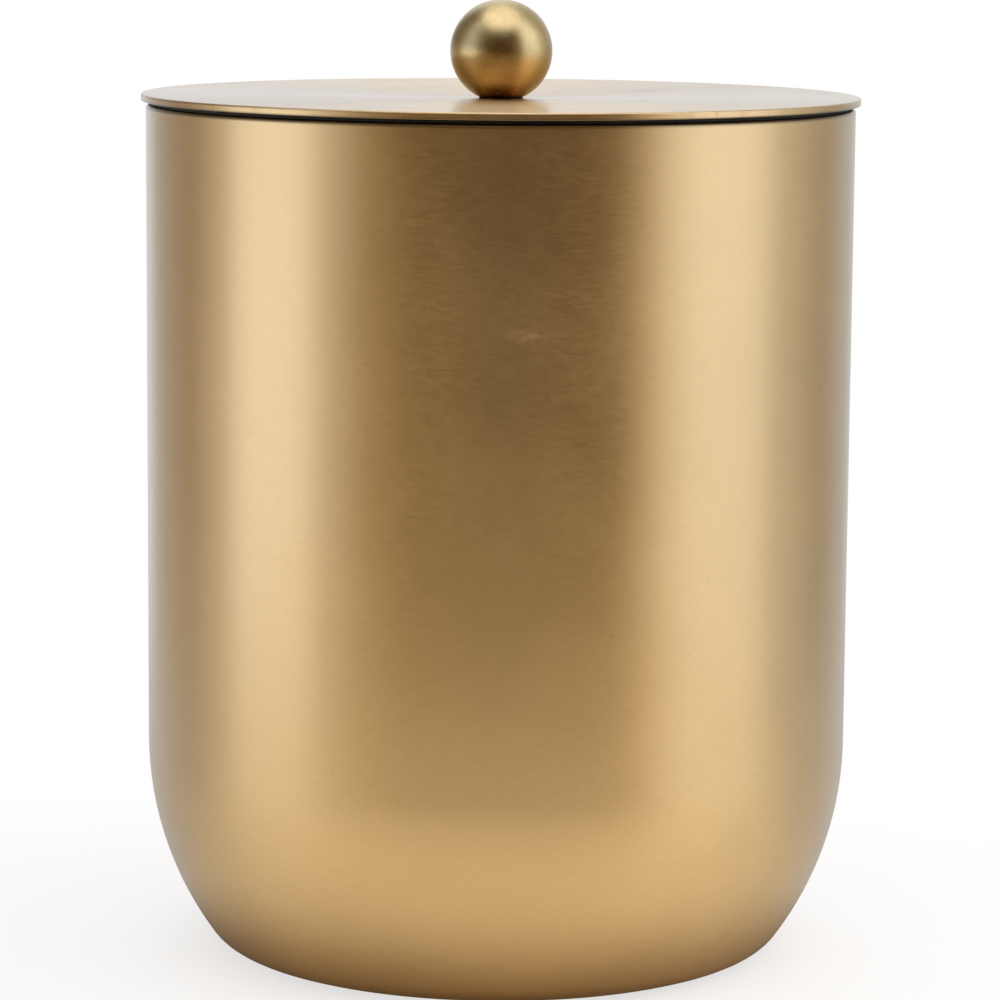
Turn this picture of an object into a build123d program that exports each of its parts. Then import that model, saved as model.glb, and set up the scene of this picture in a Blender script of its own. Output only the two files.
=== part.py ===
"""Cookie tin: a drawn sheet-metal tin with a flat lift-off lid and a ball knob.

The tin stands on a rubber pad set into its base, and its rim is hemmed inwards. The lid is a sheet, flat but
for a very slight dish, with a turned-under edge. A collar welded below it carries a silicone seal, and one
screw from below holds the knob.

Millimetres, +Z up, origin at the centre of the pad's underside, which is what the tin rests on.
"""

import os
from math import atan2, cos, degrees, radians, sin, sqrt, tan

from build123d import *

# ---- driving dimensions -------------------------------------------------------------------------------------

TIN_RADIUS = 85.0
RIM_Z = 204.6
WALL = 0.8

UPPER_CORNER_RADIUS = 80.0  # the long curve that draws the wall in towards the base
LOWER_CORNER_RADIUS = 10.0  # the short curve from there on to the flat base
CORNER_SPLIT = 35.5  # degrees turned by the long curve

HEM_THICKNESS = 2.0 * WALL
HEM_HEIGHT = 7.0
HEM_EDGE_RADIUS = 0.3

PAD_RADIUS = 48.0
PAD_THICKNESS = 2.0
PAD_PROUD = 0.5  # how far the pad stands below the base
PAD_CLEARANCE = 2.0
RECESS_SLOPE = 45.0
RECESS_BEND = 1.0
PAD_GROOVE_RADII = (14.0, 25.0, 36.0)
PAD_GROOVE_WIDTH = 1.6
PAD_GROOVE_DEPTH = 0.35
PAD_EDGE_RADIUS = 0.6

LID_RADIUS = 86.2
LID_SHEET = 1.2
LID_EDGE_DEPTH = 1.7
LID_EDGE_RADIUS = 0.5
LID_FOOT_RADIUS = 0.2  # the sharper lower corner of the edge
LID_RETURN_WIDTH = 1.5  # how far the turned-under edge reaches inwards
LID_RETURN_ROUND = 0.35
LID_DISH = 0.9  # how far the middle of the lid lies below its edge
LID_DISH_RADIUS = 66.0
LID_SEAT_RADIUS = 9.0  # flat in the middle, for the knob and the washers
RIM_GAP = 1.0  # the shadow line between the rim and the lid's edge

COLLAR_RADIUS = 80.4
COLLAR_SHEET = 0.9
COLLAR_DEPTH = 12.0
COLLAR_FLANGE_RADIUS = 69.0
COLLAR_LIP = 1.1
COLLAR_BEND = 1.2
COLLAR_FOOT_BEND = 0.72
COLLAR_LIP_EDGE = 0.3
WELD_COUNT = 12
WELD_START = 15.0
WELD_MARK_RADIUS = 1.9
WELD_DEPTH = 0.2
WELD_TAPER = 40.0

SEAL_CLEARANCE = 0.15
SEAL_BAND = 1.1
SEAL_FLANGE_RADIUS = 84.4
SEAL_RIB_RADIUS = 83.1
SEAL_RIB_HEIGHT = 0.9
SEAL_RIB_SPACING = 2.6
SEAL_RIB_COUNT = 3
SEAL_EDGE_RADIUS = 0.2

KNOB_RADIUS = 12.25
KNOB_FLAT_RADIUS = 5.5
KNOB_BORE_RADIUS = 2.05
KNOB_BORE_DEPTH = 8.4
KNOB_BORE_CHAMFER = 0.4
KNOB_FLAT_EDGE = 0.3
DRILL_POINT = 118.0

KNOB_WASHER_RADIUS = 5.3
KNOB_WASHER_THICKNESS = 0.3

SCREW_RADIUS = 2.0  # M4, drawn plain at the thread's outer radius
SCREW_LENGTH = 10.0
SCREW_HEAD_RADIUS = 4.0
SCREW_HEAD_HEIGHT = 3.1
SCREW_HEAD_RIM = 1.3
SCREW_CROWN_RADIUS = 2.5  # the flat in the middle of the head
SCREW_CROWN_ANGLE = 40.0  # a point halfway round the head's rounded shoulder
SCREW_TIP_CHAMFER = 0.4
RECESS_SPAN = 4.2
RECESS_WIDTH = 0.95
RECESS_DEPTH = 1.9
RECESS_TAPER = 8.0

FIXING_HOLE_RADIUS = 2.25
FLAT_WASHER_RADIUS = 4.5
FLAT_WASHER_BORE = 2.15
FLAT_WASHER_THICKNESS = 0.8
LOCK_WASHER_RADIUS = 3.8
LOCK_WASHER_BORE = 2.1
LOCK_WASHER_THICKNESS = 0.9
LOCK_WASHER_GAP = 0.5
LOCK_WASHER_CUT_ANGLE = 25.0
SMALL_EDGE = 0.12

# ---- heights that follow from them --------------------------------------------------------------------------

BASE_Z = PAD_PROUD
PAD_SEAT_Z = PAD_THICKNESS
LID_EDGE_Z = RIM_Z + RIM_GAP
LID_TOP_Z = LID_EDGE_Z + LID_EDGE_DEPTH
LID_UNDER_Z = LID_TOP_Z - LID_SHEET
SEAT_TOP_Z = LID_TOP_Z - LID_DISH
SEAT_UNDER_Z = SEAT_TOP_Z - LID_SHEET
COLLAR_BOTTOM_Z = LID_UNDER_Z - COLLAR_DEPTH
KNOB_FLAT_Z = SEAT_TOP_Z + KNOB_WASHER_THICKNESS
KNOB_CENTRE_Z = KNOB_FLAT_Z + sqrt(KNOB_RADIUS**2 - KNOB_FLAT_RADIUS**2)
FLAT_WASHER_Z = SEAT_UNDER_Z - FLAT_WASHER_THICKNESS
LOCK_WASHER_Z = FLAT_WASHER_Z - LOCK_WASHER_THICKNESS
SCREW_HEAD_Z = LOCK_WASHER_Z - SCREW_HEAD_HEIGHT

CORNER_HEIGHT = (UPPER_CORNER_RADIUS - LOWER_CORNER_RADIUS) * sin(radians(CORNER_SPLIT)) + LOWER_CORNER_RADIUS


# ---- the tin ------------------------------------------------------------------------------------------------


def corner_arcs(inset):
    """The two tangent arcs from the wall down to the flat base, on the outside or, inset, on the inside."""
    upper = JernArc(
        start=(TIN_RADIUS - inset, BASE_Z + CORNER_HEIGHT),
        tangent=(0, -1),
        radius=UPPER_CORNER_RADIUS - inset,
        arc_size=-CORNER_SPLIT,
    )
    lower = JernArc(
        start=upper @ 1,
        tangent=upper % 1,
        radius=LOWER_CORNER_RADIUS - inset,
        arc_size=CORNER_SPLIT - 90,
    )
    return upper @ 0, lower @ 1


def base_line(start, inset):
    """The base from the end of the corner in to the axis, stepping up into the shallow recess for the pad."""
    shift = inset * tan(radians(RECESS_SLOPE / 2))
    step_top = PAD_RADIUS + PAD_CLEARANCE - shift
    step_foot = step_top + (PAD_SEAT_Z - BASE_Z) / tan(radians(RECESS_SLOPE))
    line = FilletPolyline(
        start,
        (step_foot, BASE_Z + inset),
        (step_top, PAD_SEAT_Z + inset),
        (0, PAD_SEAT_Z + inset),
        radius=RECESS_BEND,
    )
    return line @ 1


def make_body_shell():
    """The drawn tin: one sheet, with the rim folded inwards over a rounded crown."""
    crown_radius = HEM_THICKNESS / 2
    crown_z = RIM_Z - crown_radius
    hem_foot_z = RIM_Z - HEM_HEIGHT
    hem_radius = TIN_RADIUS - HEM_THICKNESS
    inner_radius = TIN_RADIUS - WALL
    with BuildPart() as body_shell:
        with BuildSketch(Plane.XZ):
            with BuildLine():
                outer_top, outer_foot = corner_arcs(0)
                axis_low = base_line(outer_foot, 0)
                inner_top, inner_foot = corner_arcs(WALL)
                axis_high = base_line(inner_foot, WALL)
                Line(axis_low, axis_high)
                Line(outer_top, (TIN_RADIUS, crown_z))
                ThreePointArc(
                    (TIN_RADIUS, crown_z), (TIN_RADIUS - crown_radius, RIM_Z), (hem_radius, crown_z)
                )
                Line((hem_radius, crown_z), (hem_radius, hem_foot_z + HEM_EDGE_RADIUS))
                RadiusArc(
                    (hem_radius, hem_foot_z + HEM_EDGE_RADIUS),
                    (hem_radius + HEM_EDGE_RADIUS, hem_foot_z),
                    -HEM_EDGE_RADIUS,
                )
                Line((hem_radius + HEM_EDGE_RADIUS, hem_foot_z), (inner_radius, hem_foot_z))
                Line((inner_radius, hem_foot_z), inner_top)
            make_face()
        revolve(axis=Axis.Z)
    body_shell.part.label = "body_shell"
    return body_shell


def make_base_pad():
    """The rubber pad glued into the base's recess, with ring grooves in its underside."""
    with BuildPart() as base_pad:
        with BuildSketch():
            Circle(PAD_RADIUS)
        extrude(amount=PAD_THICKNESS)
        fillet(base_pad.edges().sort_by(Axis.Z)[0], PAD_EDGE_RADIUS)
        for radius in PAD_GROOVE_RADII:
            with BuildSketch():
                Circle(radius + PAD_GROOVE_WIDTH / 2)
                Circle(radius - PAD_GROOVE_WIDTH / 2, mode=Mode.SUBTRACT)
            extrude(amount=PAD_GROOVE_DEPTH, mode=Mode.SUBTRACT)
    base_pad.part.label = "base_pad"
    return base_pad


# ---- the lid ------------------------------------------------------------------------------------------------


def dish_curve(seat_z):
    """The gentle double curve from the flat seat in the middle of the lid up to the flat rim of the dish."""
    run = LID_DISH_RADIUS - LID_SEAT_RADIUS
    turn = 2 * degrees(atan2(LID_DISH, run))
    radius = (run**2 + LID_DISH**2) / (4 * LID_DISH)
    hollow = JernArc(start=(LID_SEAT_RADIUS, seat_z), tangent=(1, 0), radius=radius, arc_size=turn)
    crown = JernArc(start=hollow @ 1, tangent=hollow % 1, radius=radius, arc_size=-turn)
    Line((FIXING_HOLE_RADIUS, seat_z), (LID_SEAT_RADIUS, seat_z))
    return crown @ 1


def make_lid_plate():
    """The lid: sheet metal, very slightly dished, with its edge turned under to look like a thicker plate."""
    return_radius = LID_RADIUS - LID_RETURN_WIDTH
    with BuildPart() as lid_plate:
        with BuildSketch(Plane.XZ) as section:
            with BuildLine():
                dish_top = dish_curve(SEAT_TOP_Z)
                dish_under = dish_curve(SEAT_UNDER_Z)
                Line((FIXING_HOLE_RADIUS, SEAT_TOP_Z), (FIXING_HOLE_RADIUS, SEAT_UNDER_Z))
                Polyline(
                    dish_top,
                    (LID_RADIUS, LID_TOP_Z),
                    (LID_RADIUS, LID_EDGE_Z),
                    (return_radius, LID_EDGE_Z),
                    (return_radius, LID_UNDER_Z),
                    dish_under,
                )
            make_face()
            top_corner = section.vertices().sort_by_distance((LID_RADIUS, LID_TOP_Z))[0]
            fillet(top_corner, LID_EDGE_RADIUS)
            foot_corner = section.vertices().sort_by_distance((LID_RADIUS, LID_EDGE_Z))[0]
            fillet(foot_corner, LID_FOOT_RADIUS)
            return_corner = section.vertices().sort_by_distance((return_radius, LID_EDGE_Z))[0]
            fillet(return_corner, LID_RETURN_ROUND)
            hole_corners = section.vertices().group_by(Axis.X)[0]
            chamfer(hole_corners, SMALL_EDGE)
        revolve(axis=Axis.Z)
    lid_plate.part.label = "lid_plate"
    return lid_plate


def make_lid_collar():
    """The ring that centres the lid: a spot-welded flange, a wall, and a lip that keeps the seal on."""
    inner_radius = COLLAR_RADIUS - COLLAR_SHEET
    lip_radius = COLLAR_RADIUS + COLLAR_LIP
    flange_z = LID_UNDER_Z - COLLAR_SHEET
    weld_radius = (COLLAR_FLANGE_RADIUS + inner_radius) / 2
    with BuildPart() as lid_collar:
        with BuildSketch(Plane.XZ) as section:
            with BuildLine():
                Polyline(
                    (COLLAR_FLANGE_RADIUS, LID_UNDER_Z),
                    (COLLAR_RADIUS, LID_UNDER_Z),
                    (COLLAR_RADIUS, COLLAR_BOTTOM_Z + COLLAR_SHEET),
                    (lip_radius, COLLAR_BOTTOM_Z + COLLAR_SHEET),
                    (lip_radius, COLLAR_BOTTOM_Z),
                    (inner_radius, COLLAR_BOTTOM_Z),
                    (inner_radius, flange_z),
                    (COLLAR_FLANGE_RADIUS, flange_z),
                    close=True,
                )
            make_face()
            top_bend = section.vertices().group_by(Axis.Y)[-1].sort_by(Axis.X)[-1]
            fillet(top_bend, COLLAR_BEND)
            foot_bend = section.vertices().group_by(Axis.Y)[0].sort_by(Axis.X)[0]
            fillet(foot_bend, COLLAR_FOOT_BEND)
            lip_edge = section.vertices().group_by(Axis.X)[-1]
            fillet(lip_edge, COLLAR_LIP_EDGE)
        revolve(axis=Axis.Z)
        with BuildSketch(Plane.XY.offset(flange_z)):
            with PolarLocations(weld_radius, WELD_COUNT, start_angle=WELD_START):
                Circle(WELD_MARK_RADIUS)
        extrude(amount=WELD_DEPTH, taper=WELD_TAPER, mode=Mode.SUBTRACT)
    lid_collar.part.label = "lid_collar"
    return lid_collar


def make_lid_seal():
    """The silicone seal: a band round the collar, ribs that brush the hem, and a flange between rim and lid."""
    band_inner = COLLAR_RADIUS + SEAL_CLEARANCE
    band_outer = band_inner + SEAL_BAND
    top_z = LID_UNDER_Z - SEAL_CLEARANCE
    flange_z = RIM_Z + SEAL_CLEARANCE
    foot_z = COLLAR_BOTTOM_Z + COLLAR_SHEET + SEAL_CLEARANCE
    first_rib_z = RIM_Z - SEAL_RIB_SPACING
    with BuildPart() as lid_seal:
        with BuildSketch(Plane.XZ) as section:
            with BuildLine():
                Polyline(
                    (band_inner, top_z),
                    (SEAL_FLANGE_RADIUS, top_z),
                    (SEAL_FLANGE_RADIUS, flange_z),
                    (band_outer, flange_z),
                    (band_outer, foot_z),
                    (band_inner, foot_z),
                    close=True,
                )
            make_face()
            fillet(section.vertices().group_by(Axis.X)[-1], SEAL_EDGE_RADIUS)
            for index in range(SEAL_RIB_COUNT):
                rib_z = first_rib_z - index * SEAL_RIB_SPACING
                with BuildLine():
                    Polyline(
                        (band_outer - SEAL_EDGE_RADIUS, rib_z - SEAL_RIB_HEIGHT / 2),
                        (band_outer, rib_z - SEAL_RIB_HEIGHT / 2),
                        (SEAL_RIB_RADIUS, rib_z),
                        (band_outer, rib_z + SEAL_RIB_HEIGHT / 2),
                        (band_outer - SEAL_EDGE_RADIUS, rib_z + SEAL_RIB_HEIGHT / 2),
                        close=True,
                    )
                make_face()
        revolve(axis=Axis.Z)
    lid_seal.part.label = "lid_seal"
    return lid_seal


# ---- the knob and its fixing --------------------------------------------------------------------------------


def make_knob():
    """The ball, turned flat where it sits and tapped from below."""
    drill_cone = KNOB_BORE_RADIUS / tan(radians(DRILL_POINT / 2))
    bore_top = KNOB_FLAT_Z + KNOB_BORE_DEPTH
    with BuildPart() as knob:
        with Locations((0, 0, KNOB_CENTRE_Z)):
            Sphere(KNOB_RADIUS)
        split(bisect_by=Plane.XY.offset(KNOB_FLAT_Z), keep=Keep.TOP)
        fillet(knob.edges().group_by(Axis.Z)[0], KNOB_FLAT_EDGE)
        with BuildSketch(Plane.XZ):
            with BuildLine():
                Polyline(
                    (0, KNOB_FLAT_Z),
                    (KNOB_BORE_RADIUS + KNOB_BORE_CHAMFER, KNOB_FLAT_Z),
                    (KNOB_BORE_RADIUS, KNOB_FLAT_Z + KNOB_BORE_CHAMFER),
                    (KNOB_BORE_RADIUS, bore_top),
                    (0, bore_top + drill_cone),
                    close=True,
                )
            make_face()
        revolve(axis=Axis.Z, mode=Mode.SUBTRACT)
    knob.part.label = "knob"
    return knob


def make_ring(bottom_z, thickness, radius, bore_radius):
    """A flat washer with its outer edges broken."""
    with BuildPart() as ring:
        with BuildSketch(Plane.XY.offset(bottom_z)):
            Circle(radius)
            Circle(bore_radius, mode=Mode.SUBTRACT)
        extrude(amount=thickness)
        outer_edges = ring.edges().filter_by(GeomType.CIRCLE).group_by(SortBy.RADIUS)[-1]
        chamfer(outer_edges, SMALL_EDGE)
    return ring


def make_knob_washer():
    knob_washer = make_ring(SEAT_TOP_Z, KNOB_WASHER_THICKNESS, KNOB_WASHER_RADIUS, FIXING_HOLE_RADIUS)
    knob_washer.part.label = "knob_washer"
    return knob_washer


def make_flat_washer():
    flat_washer = make_ring(FLAT_WASHER_Z, FLAT_WASHER_THICKNESS, FLAT_WASHER_RADIUS, FLAT_WASHER_BORE)
    flat_washer.part.label = "flat_washer"
    return flat_washer


def make_lock_washer():
    """The spring washer, pressed flat, with its slanting split."""
    middle_radius = (LOCK_WASHER_RADIUS + LOCK_WASHER_BORE) / 2
    middle_z = LOCK_WASHER_Z + LOCK_WASHER_THICKNESS / 2
    with BuildPart() as lock_washer:
        with BuildSketch(Plane.XY.offset(LOCK_WASHER_Z)):
            Circle(LOCK_WASHER_RADIUS)
            Circle(LOCK_WASHER_BORE, mode=Mode.SUBTRACT)
        extrude(amount=LOCK_WASHER_THICKNESS)
        with Locations(Location((middle_radius, 0, middle_z), (LOCK_WASHER_CUT_ANGLE, 0, 0))):
            Box(LOCK_WASHER_RADIUS, LOCK_WASHER_GAP, 3 * LOCK_WASHER_THICKNESS, mode=Mode.SUBTRACT)
    lock_washer.part.label = "lock_washer"
    return lock_washer


def make_knob_screw():
    """The pan-head machine screw that comes up through the lid into the knob."""
    head_dome = SCREW_HEAD_HEIGHT - SCREW_HEAD_RIM
    shoulder_angle = radians(SCREW_CROWN_ANGLE)
    shoulder_reach = SCREW_HEAD_RADIUS - SCREW_CROWN_RADIUS
    tip_z = LOCK_WASHER_Z + SCREW_LENGTH
    with BuildPart() as knob_screw:
        with BuildSketch(Plane.XZ):
            with BuildLine():
                Polyline(
                    (0, tip_z),
                    (SCREW_RADIUS - SCREW_TIP_CHAMFER, tip_z),
                    (SCREW_RADIUS, tip_z - SCREW_TIP_CHAMFER),
                    (SCREW_RADIUS, LOCK_WASHER_Z),
                    (SCREW_HEAD_RADIUS, LOCK_WASHER_Z),
                    (SCREW_HEAD_RADIUS, LOCK_WASHER_Z - SCREW_HEAD_RIM),
                )
                ThreePointArc(
                    (SCREW_HEAD_RADIUS, LOCK_WASHER_Z - SCREW_HEAD_RIM),
                    (
                        SCREW_CROWN_RADIUS + shoulder_reach * cos(shoulder_angle),
                        LOCK_WASHER_Z - SCREW_HEAD_RIM - head_dome * sin(shoulder_angle),
                    ),
                    (SCREW_CROWN_RADIUS, SCREW_HEAD_Z),
                )
                Polyline((SCREW_CROWN_RADIUS, SCREW_HEAD_Z), (0, SCREW_HEAD_Z), (0, tip_z))
            make_face()
        revolve(axis=Axis.Z)
        with BuildSketch(Plane.XY.offset(SCREW_HEAD_Z)):
            Rectangle(RECESS_SPAN, RECESS_WIDTH)
            Rectangle(RECESS_WIDTH, RECESS_SPAN)
        extrude(amount=RECESS_DEPTH, taper=RECESS_TAPER, mode=Mode.SUBTRACT)
    knob_screw.part.label = "knob_screw"
    return knob_screw


# ---- write every piece --------------------------------------------------------------------------------------

MAKERS = (
    make_body_shell,
    make_base_pad,
    make_lid_plate,
    make_lid_collar,
    make_lid_seal,
    make_knob,
    make_knob_washer,
    make_flat_washer,
    make_lock_washer,
    make_knob_screw,
)

os.makedirs("parts", exist_ok=True)
for maker in MAKERS:
    piece = maker().part
    export_step(piece, f"parts/{piece.label}.step")
    print(piece.label, round(piece.volume, 1), "mm3")
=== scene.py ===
"""Looks, stage, light and camera for the cookie tin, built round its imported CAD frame."""

import math

import bpy
from mathutils import Matrix, Vector


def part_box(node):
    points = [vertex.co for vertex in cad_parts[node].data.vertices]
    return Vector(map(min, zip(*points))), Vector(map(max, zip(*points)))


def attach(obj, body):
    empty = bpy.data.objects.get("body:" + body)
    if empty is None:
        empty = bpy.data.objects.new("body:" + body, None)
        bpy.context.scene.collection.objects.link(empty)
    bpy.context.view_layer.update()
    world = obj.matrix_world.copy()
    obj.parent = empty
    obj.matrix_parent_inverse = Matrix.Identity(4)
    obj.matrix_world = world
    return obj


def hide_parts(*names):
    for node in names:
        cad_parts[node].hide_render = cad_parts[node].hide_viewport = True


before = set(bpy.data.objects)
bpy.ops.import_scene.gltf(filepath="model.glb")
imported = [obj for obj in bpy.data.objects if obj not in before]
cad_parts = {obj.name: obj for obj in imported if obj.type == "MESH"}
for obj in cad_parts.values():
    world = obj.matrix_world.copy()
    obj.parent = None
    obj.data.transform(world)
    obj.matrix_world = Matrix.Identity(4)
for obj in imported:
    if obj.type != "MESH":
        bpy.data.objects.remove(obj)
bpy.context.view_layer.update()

MM = 0.001

# ---- the camera, in metres and degrees -----------------------------------------------------------

CAMERA_PLACE = (0.0, -0.979, 0.254)
CAMERA_TILT = 8.44
CAMERA_PAN = -0.031
CAMERA_ROLL = 0.45
CAMERA_LENS = 146.2  # millimetres, on a sensor of the width below
CAMERA_SENSOR = 36.0
CAMERA_REACH = 100.0

# ---- the stage -----------------------------------------------------------------------------------

FLOOR_RADIUS = 0.62
FLOOR_RINGS = 3
FLOOR_SEGMENTS = 96
FLOOR_FADE_START = 0.25  # from here to its edge it fades out
FLOOR_SEEN = (0.42, 0.42, 0.42)  # the pale paper, as the camera sees it
FLOOR_GLOW = 0.70  # the glow that brings it up to the white background
FLOOR_NEAR = (1.0, 0.93, 0.74)  # the warm table that the metal reflects, close to the tin
FLOOR_FAR = (0.62, 0.37, 0.11)  # and further off
FLOOR_SPAN = (0.20, 0.55)  # how far from the axis one gives way to the other
FLOOR_LIFT = 0.18  # the glow that it has in reflections
FLOOR_BEHIND = (0.60, 0.60, 0.60)  # the greyer surface behind the tin
FLOOR_TURN = (-0.12, 0.06)  # where the table gives way to it, from front to back
FLOOR_CONTACT_SHADOW = (0.053, 0.106)  # painted shadow: the dark ring close under the tin, seen in reflections, from darkest to gone
FLOOR_CONTACT_SHADOW_TONE = (0.32, 0.20, 0.10)
WHITE = (1.0, 1.0, 1.0)  # the background

# What stands round the tin: degrees from the camera's side, positive to the right, and the colour there.
SURROUND = (
    (-180, (0.83, 0.86, 0.90)),
    (-160, (0.74, 0.77, 0.84)),
    (-140, (0.47, 0.46, 0.46)),
    (-118, (0.42, 0.35, 0.27)),
    (-102, (0.72, 0.67, 0.61)),
    (-88, (1.47, 1.53, 1.66)),
    (-68, (1.47, 1.53, 1.66)),
    (-54, (0.70, 0.67, 0.63)),
    (-40, (0.34, 0.25, 0.14)),
    (-26, (0.115, 0.067, 0.022)),
    (0, (0.046, 0.022, 0.003)),
    (26, (0.070, 0.033, 0.006)),
    (38, (0.11, 0.066, 0.026)),
    (47, (0.42, 0.35, 0.26)),
    (55, (0.80, 0.79, 0.78)),
    (66, (1.04, 1.09, 1.18)),
    (88, (1.02, 1.07, 1.16)),
    (104, (0.60, 0.59, 0.56)),
    (128, (0.38, 0.35, 0.31)),
    (150, (0.48, 0.49, 0.50)),
    (180, (0.83, 0.86, 0.90)),
)
HIGH_SPAN = (-6.0, 9.0)  # degrees above the horizon between which the two side panels change
HIGH_LEFT = 0.40  # the share of its light that the left one has up there
HIGH_RIGHT = 1.15  # and the right one
HIGH_SIDE = (0.15, 0.6)  # where that change begins and is full, as a share of straight sideways
OVERHEAD = (1.35, 1.34, 1.36)
OVERHEAD_LEAN = 0.12  # how far it leans towards the camera
OVERHEAD_SPAN = (0.70, 0.95)  # where it begins and where it is full, as a share of straight up
OVERHEAD_SIDES = (0.34, 0.62)  # where it starts to fade and ends, as a share of straight sideways

# ---- the materials: colours, roughness, and the places of wear and of painted reflection in metres on the tin ---

BRASS = (0.80, 0.57, 0.29)
BRASS_ROUGHNESS = 0.34
SCUFF_PLACE = (0.007, -0.0845, 0.158)
SCUFF_REACH = (0.008, 0.010, 0.0022)
SCUFF_LIGHT = 0.18
SCUFF_ROUGHNESS = 0.08
# the stain colour, also used for the painted reflection and shade of the knob on the lid round its foot,
# placed and sized by the next two
STAIN_AND_KNOB_REFLECTION = (0.45, 0.25, 0.14)
KNOB_REFLECTION_PLACE = (0.004, -0.010, 0.206)
KNOB_REFLECTION_REACH = (0.012, 0.014, 0.010)
STAIN_ROUGHNESS = 0.08
SMUDGE_DEPTH = 0.46  # how far the lid's wide smudges and its small spots go towards the stain's colour
SPOT_DEPTH = 0.42
CREVICE_SHADE = 0.4  # painted shade: the share of its lightness that the brass keeps deep in the gap below the lid

KNOB_BRASS = (0.75, 0.58, 0.29)
KNOB_TARNISH_AND_SHADE = (0.57, 0.37, 0.13)
KNOB_ROUGHNESS = 0.28
KNOB_SHADE_SPAN = (1.6, 0.8)  # painted shade on the lower ball, in the tarnish colour: where it starts to lift and where it is gone, in radii below the top

COLLAR_BRASS = (0.72, 0.55, 0.31)
COLLAR_ROUGHNESS = 0.38
SILICONE = (0.010, 0.010, 0.010)
SILICONE_ROUGHNESS = 0.6
PAD_RUBBER = (0.02, 0.02, 0.02)
FIBRE = (0.02, 0.014, 0.01)
RUBBER_ROUGHNESS = 0.7
RUBBER_DUST = (0.16, 0.15, 0.14)
STEEL = (0.62, 0.62, 0.60)
STEEL_ROUGHNESS = 0.3

NOISE_RANGE = (0.3, 0.7)  # what a noise mostly stays between

# ---- the outline of the pieces that are turned here as smooth meshes, in millimetres -------------

TURN_SEGMENTS = 288
ARC_STEP = 9.0  # about how many degrees lie between points on an arc
ARC_RUN = 1.5  # and the most millimetres
HOLD = 0.12  # how close to a bend a straight stretch gets an extra ring, so that it shades flat
SHARP_ANGLE = 35.0

WALL = 0.8
UPPER_CORNER_RADIUS = 80.0
LOWER_CORNER_RADIUS = 10.0
CORNER_SPLIT = 35.5
HEM_HEIGHT = 7.0
HEM_EDGE_RADIUS = 0.3
PAD_CLEARANCE = 2.0
RECESS_SLOPE = 45.0
RECESS_BEND = 1.0

LID_SHEET = 1.2
LID_DISH = 0.9
LID_DISH_RADIUS = 66.0
LID_DISH_STEPS = 24
LID_SEAT_RADIUS = 9.0
LID_EDGE_DEPTH = 1.7
LID_EDGE_RADIUS = 0.5
LID_FOOT_RADIUS = 0.2
LID_RETURN_WIDTH = 1.5
LID_RETURN_ROUND = 0.35
LID_HOLE_RADIUS = 2.25
RIM_SHADE_SPAN = (1.1, 0.3)  # how far below the rim the painted shade in the gap begins and is full
LID_SHADE_SPAN = (0.5, 0.1)  # and how far above the lid's lower edge

KNOB_FLAT_EDGE = 0.3
KNOB_STEPS = 64

TINY = 1e-6


class Net:
    """Adds nodes to a shader tree and links them."""

    def __init__(self, tree):
        self.tree = tree
        self.tree.nodes.clear()

    def plug(self, socket, value):
        if isinstance(value, bpy.types.NodeSocket):
            self.tree.links.new(value, socket)
        else:
            socket.default_value = value

    def add(self, kind, inputs=None, **settings):
        node = self.tree.nodes.new(kind)
        for name, value in settings.items():
            setattr(node, name, value)
        for name, value in (inputs or {}).items():
            self.plug(node.inputs[name], value)
        return node

    def math(self, operation, first, second=0.0, third=0.0):
        inputs = {0: first, 1: second, 2: third}
        return self.add("ShaderNodeMath", inputs, operation=operation).outputs[0]

    def spread(self, value, low, high, to_low=0.0, to_high=1.0):
        """value, from low..high, laid smoothly onto to_low..to_high."""
        inputs = {"Value": value, "From Min": low, "From Max": high, "To Min": to_low, "To Max": to_high}
        node = self.add("ShaderNodeMapRange", inputs, interpolation_type="SMOOTHSTEP")
        return node.outputs["Result"]

    def mix(self, factor, first, second, blend="MIX"):
        """A colour mix; sockets 6, 7 and 2 are the node's colour sockets."""
        node = self.add("ShaderNodeMix", data_type="RGBA", blend_type=blend)
        self.plug(node.inputs["Factor"], factor)
        self.plug(node.inputs[6], first)
        self.plug(node.inputs[7], second)
        return node.outputs[2]

    def noise(self, vector, scale, detail, roughness):
        inputs = {"Vector": vector, "Scale": scale, "Detail": detail, "Roughness": roughness}
        return self.add("ShaderNodeTexNoise", inputs).outputs["Fac"]

    def vary(self, noise, low, high):
        """A noise laid onto low..high."""
        return self.spread(noise, *NOISE_RANGE, low, high)

    def object_place(self):
        """Where a point lies on the object, in metres."""
        return self.add("ShaderNodeTexCoord").outputs["Object"]

    def bump(self, height, depth):
        """The normal for a relief of the given depth in millimetres."""
        inputs = {"Strength": 1.0, "Distance": depth * MM, "Height": height}
        return self.add("ShaderNodeBump", inputs).outputs["Normal"]


def opaque(colour):
    return (*colour, 1.0)


# ---- turned meshes -------------------------------------------------------------------------------


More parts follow.
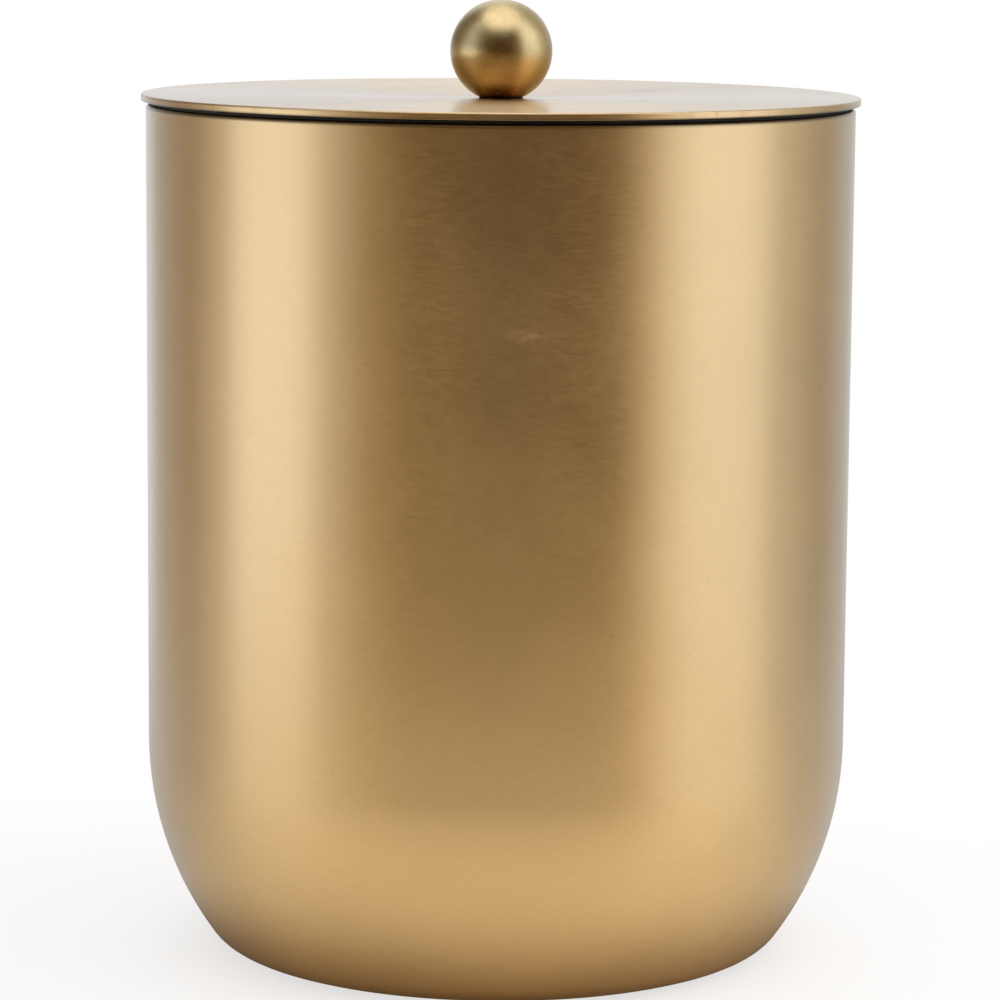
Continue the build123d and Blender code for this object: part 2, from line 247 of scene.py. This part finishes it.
class Outline:
    """Half of a round piece's section: points of radius and height, added run by run."""

    def __init__(self, radius, height):
        self.points = [(radius, height)]

    def line(self, radius, height):
        """A straight run, with an extra point close to each end."""
        last_radius, last_height = self.points[-1]
        length = math.hypot(radius - last_radius, height - last_height)
        if length < TINY:
            return
        shares = (HOLD / length, 1.0 - HOLD / length) if length > 3.0 * HOLD else ()
        for share in (*shares, 1.0):
            reach = last_radius + share * (radius - last_radius)
            rise = last_height + share * (height - last_height)
            self.points.append((reach, rise))

    def arc(self, centre, radius, start, end):
        """An arc about centre, between two angles in degrees; 0 points outwards and 90 up."""
        length = radius * math.radians(abs(end - start))
        steps = max(2, round(abs(end - start) / ARC_STEP), math.ceil(length / ARC_RUN))
        for step in range(steps + 1):
            angle = math.radians(start + (end - start) * step / steps)
            point = (centre[0] + radius * math.cos(angle), centre[1] + radius * math.sin(angle))
            if math.dist(point, self.points[-1]) > TINY:
                self.points.append(point)

    def bends(self, corners, radius):
        """Straight runs through corners, each but the last rounded off with the same radius."""
        starts = [self.points[-1], *corners]
        for here, corner, there in zip(starts, corners, corners[1:]):
            corner = Vector(corner)
            back = (Vector(here) - corner).normalized()
            ahead = (Vector(there) - corner).normalized()
            half = back.angle(ahead) / 2.0
            start = corner + back * radius / math.tan(half)
            end = corner + ahead * radius / math.tan(half)
            centre = corner + (back + ahead).normalized() * radius / math.sin(half)
            first = math.degrees(math.atan2(start.y - centre.y, start.x - centre.x))
            last = math.degrees(math.atan2(end.y - centre.y, end.x - centre.x))
            last += 360.0 * round((first - last) / 360.0)
            self.line(*start)
            self.arc(centre, radius, first, last)
        self.line(*corners[-1])


def turn(name, outline, closed=False):
    """Turns an outline about the axis into a smooth mesh. A closed outline makes a ring."""
    vertices = []
    rings = []
    for radius, height in outline.points:
        first = len(vertices)
        if radius < TINY:
            vertices.append((0.0, 0.0, height * MM))
            rings.append((first,))
            continue
        for step in range(TURN_SEGMENTS):
            angle = math.tau * step / TURN_SEGMENTS
            vertices.append((radius * MM * math.cos(angle), radius * MM * math.sin(angle), height * MM))
        rings.append(tuple(range(first, first + TURN_SEGMENTS)))
    faces = []
    for low, high in zip(rings, rings[1:] + rings[:1] if closed else rings[1:]):
        for step in range(TURN_SEGMENTS):
            here, there = step % len(low), (step + 1) % len(low)
            above, beyond = step % len(high), (step + 1) % len(high)
            corners = (low[here], low[there], high[beyond], high[above])
            faces.append(tuple(dict.fromkeys(corners)))
    mesh = bpy.data.meshes.new(name)
    mesh.from_pydata(vertices, [], faces)
    mesh.shade_smooth()
    mesh.set_sharp_from_angle(angle=math.radians(SHARP_ANGLE))
    piece = bpy.data.objects.new(name, mesh)
    bpy.context.scene.collection.objects.link(piece)
    return piece


def stand_in(piece, node, body, material):
    """piece is shown in place of the CAD node, on the same body, with the given material."""
    piece.data.materials.append(material)
    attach(piece, body)
    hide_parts(node)


def extent(node):
    """The lowest and highest point of a node and its outer radius, in millimetres."""
    low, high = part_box(node)
    return low.z / MM, high.z / MM, high.x / MM


def shell_outline():
    """The drawn tin, from the axis below, out and up over the hemmed rim, and down inside to the axis."""
    base, rim, outer = extent("body_shell")
    _, seat, pad = extent("base_pad")
    step_top = pad + PAD_CLEARANCE
    slope = math.radians(RECESS_SLOPE)
    split = math.radians(CORNER_SPLIT)
    step_foot = step_top + (seat - base) / math.tan(slope)
    shift = WALL * math.tan(slope / 2.0)
    reach = UPPER_CORNER_RADIUS - LOWER_CORNER_RADIUS
    upper = (outer - UPPER_CORNER_RADIUS, base + reach * math.sin(split) + LOWER_CORNER_RADIUS)
    lower = (upper[0] + reach * math.cos(split), base + LOWER_CORNER_RADIUS)
    crown = (outer - WALL, rim - WALL)
    hem = outer - 2.0 * WALL
    foot = rim - HEM_HEIGHT
    outline = Outline(0.0, seat)
    outline.bends([(step_top, seat), (step_foot, base), (lower[0], base)], RECESS_BEND)
    outline.arc(lower, LOWER_CORNER_RADIUS, -90.0, -CORNER_SPLIT)
    outline.arc(upper, UPPER_CORNER_RADIUS, -CORNER_SPLIT, 0.0)
    outline.line(outer, crown[1])
    outline.arc(crown, WALL, 0.0, 180.0)
    outline.line(hem, foot + HEM_EDGE_RADIUS)
    outline.arc((hem + HEM_EDGE_RADIUS, foot + HEM_EDGE_RADIUS), HEM_EDGE_RADIUS, 180.0, 270.0)
    outline.line(outer - WALL, foot)
    outline.line(outer - WALL, upper[1])
    outline.arc(upper, UPPER_CORNER_RADIUS - WALL, 0.0, -CORNER_SPLIT)
    outline.arc(lower, LOWER_CORNER_RADIUS - WALL, -CORNER_SPLIT, -90.0)
    inner_step = [(step_foot - shift, base + WALL), (step_top - shift, seat + WALL), (0.0, seat + WALL)]
    outline.bends(inner_step, RECESS_BEND)
    return outline


def add_dish(outline, seat, shares):
    """The lid's gentle double curve between the seat in its middle and the flat near its edge."""
    run = LID_DISH_RADIUS - LID_SEAT_RADIUS
    for share in shares:
        rise = 2.0 * share**2 if share < 0.5 else 1.0 - 2.0 * (1.0 - share) ** 2
        outline.points.append((LID_SEAT_RADIUS + run * share, seat + LID_DISH * rise))


def lid_outline():
    """The lid's sheet and its turned-under edge, as a closed ring about the fixing hole."""
    _, top, outer = extent("lid_plate")
    edge = top - LID_EDGE_DEPTH
    under = top - LID_SHEET
    seat = top - LID_DISH
    inner = outer - LID_RETURN_WIDTH
    shoulder = (outer - LID_EDGE_RADIUS, top - LID_EDGE_RADIUS)
    foot = (outer - LID_FOOT_RADIUS, edge + LID_FOOT_RADIUS)
    outwards = [step / LID_DISH_STEPS for step in range(LID_DISH_STEPS + 1)]
    outline = Outline(LID_HOLE_RADIUS, seat - LID_SHEET)
    outline.line(LID_HOLE_RADIUS, seat)
    add_dish(outline, seat, outwards)
    outline.line(shoulder[0], top)
    outline.arc(shoulder, LID_EDGE_RADIUS, 90.0, 0.0)
    outline.line(outer, foot[1])
    outline.arc(foot, LID_FOOT_RADIUS, 0.0, -90.0)
    outline.line(inner + LID_RETURN_ROUND, edge)
    outline.arc((inner + LID_RETURN_ROUND, edge + LID_RETURN_ROUND), LID_RETURN_ROUND, -90.0, -180.0)
    outline.line(inner, under)
    add_dish(outline, seat - LID_SHEET, reversed(outwards))
    return outline


def knob_outline():
    """The ball above its turned flat; the tapped hole is left out, because the washer hides it."""
    flat, top, radius = extent("knob")
    centre = top - radius
    flat_radius = math.sqrt(radius**2 - (flat - centre) ** 2)
    first = math.asin((flat - centre) / radius) + KNOB_FLAT_EDGE / radius
    outline = Outline(0.0, flat)
    outline.line(flat_radius - KNOB_FLAT_EDGE, flat)
    for step in range(KNOB_STEPS):
        angle = first + (math.pi / 2.0 - first) * step / KNOB_STEPS
        outline.points.append((radius * math.cos(angle), centre + radius * math.sin(angle)))
    outline.points.append((0.0, top))
    return outline


# ---- the coordinates that turned and brushed metal is marked in ----------------------------------


def turned(net, along, across):
    """A vector that runs fast across the brushing and slowly along it, round the tin's axis.

    along is how many features fit in one radian of turn, across how many fit in a metre of the outline.
    """
    place = net.object_place()
    split = net.add("ShaderNodeSeparateXYZ", {0: place}).outputs
    flat = net.add("ShaderNodeCombineXYZ", {"X": split["X"], "Y": split["Y"]}).outputs[0]
    radius = net.add("ShaderNodeVectorMath", {0: flat}, operation="LENGTH").outputs["Value"]
    around = net.add("ShaderNodeVectorMath", {0: flat}, operation="NORMALIZE").outputs["Vector"]
    scaled = {0: around, "Scale": along}
    around = net.add("ShaderNodeVectorMath", scaled, operation="SCALE").outputs["Vector"]
    outline = net.math("MULTIPLY", net.math("ADD", split["Z"], radius), across)
    rise = net.add("ShaderNodeCombineXYZ", {"Z": outline}).outputs[0]
    return net.add("ShaderNodeVectorMath", {0: around, 1: rise}, operation="ADD").outputs["Vector"]


# ---- materials -----------------------------------------------------------------------------------


def new_material(name):
    material = bpy.data.materials.new(name)
    material.use_nodes = True
    return material, Net(material.node_tree)


def finish_material(net, **inputs):
    """Adds the shader and the output. An input is named as its socket is, with _ for each space."""
    sockets = {name.replace("_", " "): value for name, value in inputs.items()}
    shader = net.add("ShaderNodeBsdfPrincipled", sockets)
    output = net.add("ShaderNodeOutputMaterial")
    net.tree.links.new(shader.outputs["BSDF"], output.inputs["Surface"])


def patch(net, centre, reach):
    """1 at a place on the surface, fading to 0 at the reach in x, y and z."""
    place = net.object_place()
    away = net.add("ShaderNodeVectorMath", {0: place, 1: centre}, operation="SUBTRACT").outputs[0]
    share = net.add("ShaderNodeVectorMath", {0: away, 1: reach}, operation="DIVIDE").outputs[0]
    distance = net.add("ShaderNodeVectorMath", {0: share}, operation="LENGTH").outputs["Value"]
    return net.spread(distance, 0.0, 1.0, 1.0, 0.0)


def scratches(net, turn_by, scale, low, high):
    """Sparse straight hair scratches, all lying one way."""
    place = net.object_place()
    inputs = {"Vector": place, "Rotation": turn_by, "Scale": scale}
    lying = net.add("ShaderNodeMapping", inputs).outputs[0]
    return net.spread(net.noise(lying, 1.0, 1.0, 0.4), low, high)


def brushed_brass(name, colour, roughness, crevice_shade=None, scuffed=False, stains_and_knob_reflection=False):
    """Sheet brass brushed round the axis: fine short streaks, a slow mottle, and a few specks.

    The first optional argument is a pair of heights in metres, from clean brass to the full painted shade in
    the gap below the lid.
    scuffed adds the light scuff on the tin's front, and the last argument adds the lid's smudges and spots
    and a painted reflection and shade of the knob round its foot.
    """
    material, net = new_material(name)
    dashes = net.noise(turned(net, 26.0, 3000.0), 1.0, 3.0, 0.7)
    grain = net.noise(turned(net, 90.0, 6500.0), 1.0, 2.0, 0.6)
    place = net.object_place()
    mottle = net.noise(place, 26.0, 5.0, 0.6)
    specks = net.noise(place, 1500.0, 0.0, 0.4)
    light = net.vary(dashes, 0.97, 1.03)
    light = net.math("MULTIPLY", light, net.vary(grain, 0.98, 1.02))
    light = net.math("MULTIPLY", light, net.vary(mottle, 0.97, 1.03))
    light = net.math("MULTIPLY", light, net.spread(specks, 0.86, 0.90, 1.0, 0.78))
    rough = net.vary(dashes, roughness * 0.92, roughness * 1.08)
    rough = net.math("MULTIPLY", rough, net.spread(mottle, 0.25, 0.75, 0.94, 1.06))
    tone = opaque(colour)
    # painted shade: the brass is darkened by height towards the gap below the lid, where shade falls
    if crevice_shade:
        rise = net.add("ShaderNodeSeparateXYZ", {0: place}).outputs["Z"]
        light = net.math("MULTIPLY", light, net.spread(rise, *crevice_shade, 1.0, CREVICE_SHADE))
    if scuffed:
        marks = net.noise(turned(net, 26.0, 900.0), 1.0, 2.0, 0.5)
        scuff = net.math("MULTIPLY", patch(net, SCUFF_PLACE, SCUFF_REACH), net.spread(marks, 0.30, 0.66))
        light = net.math("MULTIPLY", light, net.math("MULTIPLY_ADD", scuff, SCUFF_LIGHT, 1.0))
        rough = net.math("MULTIPLY_ADD", scuff, SCUFF_ROUGHNESS, rough)
    if stains_and_knob_reflection:
        smudges = net.spread(net.noise(place, 48.0, 6.0, 0.68), 0.52, 0.74, 0.0, SMUDGE_DEPTH)
        spots = net.spread(net.noise(place, 260.0, 4.0, 0.7), 0.60, 0.72, 0.0, SPOT_DEPTH)
        # painted reflection and shade of the knob: a brown patch on the lid round its foot, in the stain
        # colour
        foot = net.math("MULTIPLY", patch(net, KNOB_REFLECTION_PLACE, KNOB_REFLECTION_REACH), net.spread(mottle, 0.35, 0.6))
        stain_and_knob_reflection_mask = net.math("MAXIMUM", net.math("MAXIMUM", smudges, spots), foot)
        tone = net.mix(stain_and_knob_reflection_mask, tone, opaque(STAIN_AND_KNOB_REFLECTION))
        rough = net.math("MULTIPLY_ADD", smudges, STAIN_ROUGHNESS, rough)
    base = net.mix(1.0, tone, light, "MULTIPLY")
    relief = net.bump(net.math("MULTIPLY_ADD", grain, 0.5, dashes), 0.005)
    finish_material(
        net,
        Base_Color=base,
        Metallic=1.0,
        Roughness=rough,
        Anisotropic=0.8,
        Anisotropic_Rotation=0.25,
        Coat_Weight=0.8,
        Coat_Roughness=0.2,
        Normal=relief,
    )
    return material


def satin_brass(name, colour, tarnish_and_shade, roughness, shade_from, shade_to):
    """Brass buffed to a satin: tarnish in soft patches, painted shade low down in the tarnish colour,
    buffing haze and a few hair scratches.

    It is kept bright at the top, above the upper of the two given heights, and painted darkest below the
    lower one, as shade.
    """
    material, net = new_material(name)
    place = net.object_place()
    haze = net.noise(place, 2600.0, 2.0, 0.6)
    mottle = net.noise(place, 170.0, 5.0, 0.66)
    cloud = net.noise(place, 60.0, 3.0, 0.6)
    buffing = net.noise(turned(net, 14.0, 2400.0), 1.0, 3.0, 0.65)
    hairs = scratches(net, (0.3, 0.95, 0.2), (260.0, 3400.0, 3400.0), 0.72, 0.80)
    rise = net.add("ShaderNodeSeparateXYZ", {0: place}).outputs["Z"]
    # painted shade: the lower ball is laid in the tarnish colour by height, clean brass at the top; only the
    # mottle in it is real tarnish
    clean_unshaded_share = net.math("MULTIPLY", net.spread(rise, shade_from, shade_to), net.spread(mottle, 0.3, 0.6, 0.8, 1.0))
    base = net.mix(clean_unshaded_share, opaque(tarnish_and_shade), opaque(colour))
    light = net.vary(buffing, 0.94, 1.06)
    light = net.math("MULTIPLY", light, net.vary(cloud, 0.9, 1.08))
    light = net.math("MULTIPLY_ADD", hairs, 0.35, light)
    base = net.mix(1.0, base, light, "MULTIPLY")
    rough = net.vary(mottle, roughness * 1.2, roughness * 0.9)
    height = net.math("MULTIPLY_ADD", haze, 0.6, net.math("MULTIPLY_ADD", hairs, -1.0, buffing))
    finish_material(
        net,
        Base_Color=base,
        Metallic=1.0,
        Roughness=rough,
        Coat_Weight=0.4,
        Coat_Roughness=0.3,
        Normal=net.bump(height, 0.005),
    )
    return material


def matt_rubber(name, colour, roughness):
    """Moulded rubber, silicone or fibre: nearly black, with a fine matt grain and a little dust."""
    material, net = new_material(name)
    place = net.object_place()
    grain = net.noise(place, 1800.0, 3.0, 0.6)
    dust = net.noise(place, 90.0, 4.0, 0.6)
    base = net.mix(net.spread(dust, 0.45, 0.8, 0.0, 0.12), opaque(colour), opaque(RUBBER_DUST))
    rough = net.vary(grain, roughness * 0.9, roughness * 1.1)
    finish_material(
        net,
        Base_Color=base,
        Roughness=rough,
        Specular_IOR_Level=0.3,
        Normal=net.bump(grain, 0.02),
    )
    return material


def plated_steel(name, colour, roughness):
    """Bright plated steel with turning marks."""
    material, net = new_material(name)
    marks = net.noise(turned(net, 2.0, 6000.0), 1.0, 2.0, 0.6)
    place = net.object_place()
    mottle = net.noise(place, 700.0, 3.0, 0.6)
    base = net.mix(1.0, opaque(colour), net.vary(mottle, 0.88, 1.05), "MULTIPLY")
    rough = net.vary(marks, roughness * 0.8, roughness * 1.2)
    finish_material(net, Base_Color=base, Metallic=1.0, Roughness=rough, Normal=net.bump(marks, 0.004))
    return material


def dress(material, *nodes):
    """Gives a material to CAD nodes that are shown as they are."""
    for node in nodes:
        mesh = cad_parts[node].data
        mesh.materials.clear()
        mesh.materials.append(material)


def make_shell():
    _, rim, _ = extent("body_shell")
    crevice_shade = [(rim - below) * MM for below in RIM_SHADE_SPAN]
    material = brushed_brass("brushed_brass", BRASS, BRASS_ROUGHNESS, crevice_shade, scuffed=True)
    stand_in(turn("tin_shell", shell_outline()), "body_shell", "tin", material)


def make_lid():
    _, top, _ = extent("lid_plate")
    crevice_shade = [(top - LID_EDGE_DEPTH + above) * MM for above in LID_SHADE_SPAN]
    material = brushed_brass("brushed_brass_lid", BRASS, BRASS_ROUGHNESS, crevice_shade, stains_and_knob_reflection=True)
    stand_in(turn("lid_sheet", lid_outline(), closed=True), "lid_plate", "lid", material)


def make_knob():
    _, top, radius = extent("knob")
    shade_from, shade_to = [(top - share * radius) * MM for share in KNOB_SHADE_SPAN]
    material = satin_brass("satin_brass", KNOB_BRASS, KNOB_TARNISH_AND_SHADE, KNOB_ROUGHNESS, shade_from, shade_to)
    stand_in(turn("ball_knob", knob_outline()), "knob", "lid", material)


def dress_cad_nodes():
    dress(brushed_brass("drawn_brass", COLLAR_BRASS, COLLAR_ROUGHNESS), "lid_collar")
    dress(matt_rubber("seal_silicone", SILICONE, SILICONE_ROUGHNESS), "lid_seal")
    dress(matt_rubber("pad_rubber", PAD_RUBBER, RUBBER_ROUGHNESS), "base_pad")
    dress(matt_rubber("washer_fibre", FIBRE, RUBBER_ROUGHNESS), "knob_washer")
    steel = plated_steel("fastener_steel", STEEL, STEEL_ROUGHNESS)
    dress(steel, "flat_washer", "lock_washer", "knob_screw")


# ---- the stage, the light and the camera ---------------------------------------------------------


def make_floor():
    """A round pale floor that fades out into the white background."""
    points = [(0.0, 0.0, 0.0)]
    for ring in range(1, FLOOR_RINGS + 1):
        radius = FLOOR_RADIUS * ring / FLOOR_RINGS
        for step in range(FLOOR_SEGMENTS):
            angle = math.tau * step / FLOOR_SEGMENTS
            points.append((radius * math.cos(angle), radius * math.sin(angle), 0.0))
    faces = [(0, 1 + step, 1 + (step + 1) % FLOOR_SEGMENTS) for step in range(FLOOR_SEGMENTS)]
    for ring in range(FLOOR_RINGS - 1):
        inner = 1 + ring * FLOOR_SEGMENTS
        outer = inner + FLOOR_SEGMENTS
        for step in range(FLOOR_SEGMENTS):
            following = (step + 1) % FLOOR_SEGMENTS
            faces.append((inner + step, outer + step, outer + following, inner + following))
    mesh = bpy.data.meshes.new("floor")
    mesh.from_pydata(points, [], faces)
    floor = bpy.data.objects.new("floor", mesh)
    bpy.context.scene.collection.objects.link(floor)
    mesh.materials.append(floor_material())


def floor_material():
    """White paper to the camera; in reflections a warm table, with a painted shadow ring under the tin, and
    grey behind it.
    """
    material, net = new_material("floor_paper")
    place = net.object_place()
    distance = net.add("ShaderNodeVectorMath", {0: place}, operation="LENGTH").outputs["Value"]
    seen = net.add("ShaderNodeLightPath").outputs["Is Camera Ray"]
    depth = net.add("ShaderNodeSeparateXYZ", {0: place}).outputs["Y"]
    table = net.mix(net.spread(distance, *FLOOR_SPAN), opaque(FLOOR_NEAR), opaque(FLOOR_FAR))
    table = net.mix(net.spread(depth, *FLOOR_TURN), table, opaque(FLOOR_BEHIND))
    # painted shadow: the ring close under the tin is darkened in what reflections see
    shade = net.mix(net.spread(distance, *FLOOR_CONTACT_SHADOW), opaque(FLOOR_CONTACT_SHADOW_TONE), opaque(WHITE))
    table = net.mix(1.0, table, shade, "MULTIPLY")
    tone = net.mix(seen, table, opaque(FLOOR_SEEN))
    paper = net.vary(net.noise(place, 60.0, 4.0, 0.6), 0.99, 1.0)
    matt = net.add("ShaderNodeBsdfDiffuse", {"Color": net.mix(1.0, tone, paper, "MULTIPLY")}).outputs[0]
    strength = net.spread(seen, 0.0, 1.0, FLOOR_LIFT, FLOOR_GLOW)
    light = net.mix(seen, table, opaque(WHITE))
    glow = net.add("ShaderNodeEmission", {"Color": light, "Strength": strength}).outputs[0]
    paper_shader = net.add("ShaderNodeAddShader", {0: matt, 1: glow}).outputs[0]
    clear = net.add("ShaderNodeBsdfTransparent").outputs[0]
    fade = net.spread(distance, FLOOR_FADE_START, FLOOR_RADIUS)
    surface = net.add("ShaderNodeMixShader", {0: fade, 1: paper_shader, 2: clear}).outputs[0]
    net.add("ShaderNodeOutputMaterial", {"Surface": surface})
    return material


def make_surround():
    """The room: two tall side panels, a pale back, a dark front and a pale ceiling, in soft gradients."""
    world = bpy.data.worlds.new("surround")
    bpy.context.scene.world = world
    world.use_nodes = True
    net = Net(world.node_tree)
    direction = net.add("ShaderNodeTexCoord").outputs["Generated"]
    split = net.add("ShaderNodeSeparateXYZ", {0: direction}).outputs
    around = net.math("ARCTAN2", split["X"], net.math("MULTIPLY", split["Y"], -1.0))
    share = net.math("MULTIPLY_ADD", around, 1.0 / math.tau, 0.5)
    ramp = net.add("ShaderNodeValToRGB", {"Fac": share})
    ramp.color_ramp.interpolation = "EASE"
    stops = ramp.color_ramp.elements
    while len(stops) > 1:
        stops.remove(stops[-1])
    for index, (degrees, colour) in enumerate(SURROUND):
        place = degrees / 360.0 + 0.5
        stop = stops[0] if index == 0 else stops.new(place)
        stop.position = place
        stop.color = opaque(colour)
    height = net.math("ARCSINE", split["Z"])
    lean = net.math("MULTIPLY_ADD", split["Y"], -OVERHEAD_LEAN, split["Z"])
    above = net.spread(lean, *OVERHEAD_SPAN)
    side = net.math("ABSOLUTE", split["X"])
    above = net.math("MULTIPLY", above, net.spread(side, *OVERHEAD_SIDES, 1.0, 0.0))
    high = net.spread(height, *(math.radians(degrees) for degrees in HIGH_SPAN))
    near, far = HIGH_SIDE
    left = net.spread(split["X"], -far, -near, HIGH_LEFT, 1.0)
    right = net.spread(split["X"], near, far, 1.0, HIGH_RIGHT)
    change = net.math("SUBTRACT", net.math("MULTIPLY", left, right), 1.0)
    tone = net.math("MULTIPLY_ADD", high, change, 1.0)
    walls = net.mix(1.0, ramp.outputs["Color"], tone, "MULTIPLY")
    room = net.mix(above, walls, opaque(OVERHEAD))
    seen = net.add("ShaderNodeLightPath").outputs["Is Camera Ray"]
    colour = net.mix(seen, room, opaque(WHITE))
    shade = net.add("ShaderNodeBackground", {"Color": colour, "Strength": 1.0}).outputs[0]
    net.add("ShaderNodeOutputWorld", {"Surface": shade})


def make_camera():
    data = bpy.data.cameras.new("camera")
    data.sensor_width = CAMERA_SENSOR
    data.lens = CAMERA_LENS
    data.clip_end = CAMERA_REACH
    camera = bpy.data.objects.new("camera", data)
    bpy.context.scene.collection.objects.link(camera)
    pan = Matrix.Rotation(math.radians(CAMERA_PAN), 4, "Z")
    tilt = Matrix.Rotation(math.radians(90.0 - CAMERA_TILT), 4, "X")
    roll = Matrix.Rotation(math.radians(CAMERA_ROLL), 4, "Z")
    camera.matrix_world = Matrix.Translation(Vector(CAMERA_PLACE)) @ pan @ tilt @ roll
    bpy.context.scene.camera = camera


make_shell()
make_lid()
make_knob()
dress_cad_nodes()
make_floor()
make_surround()
make_camera()
bpy.context.scene.view_settings.view_transform = "Standard"
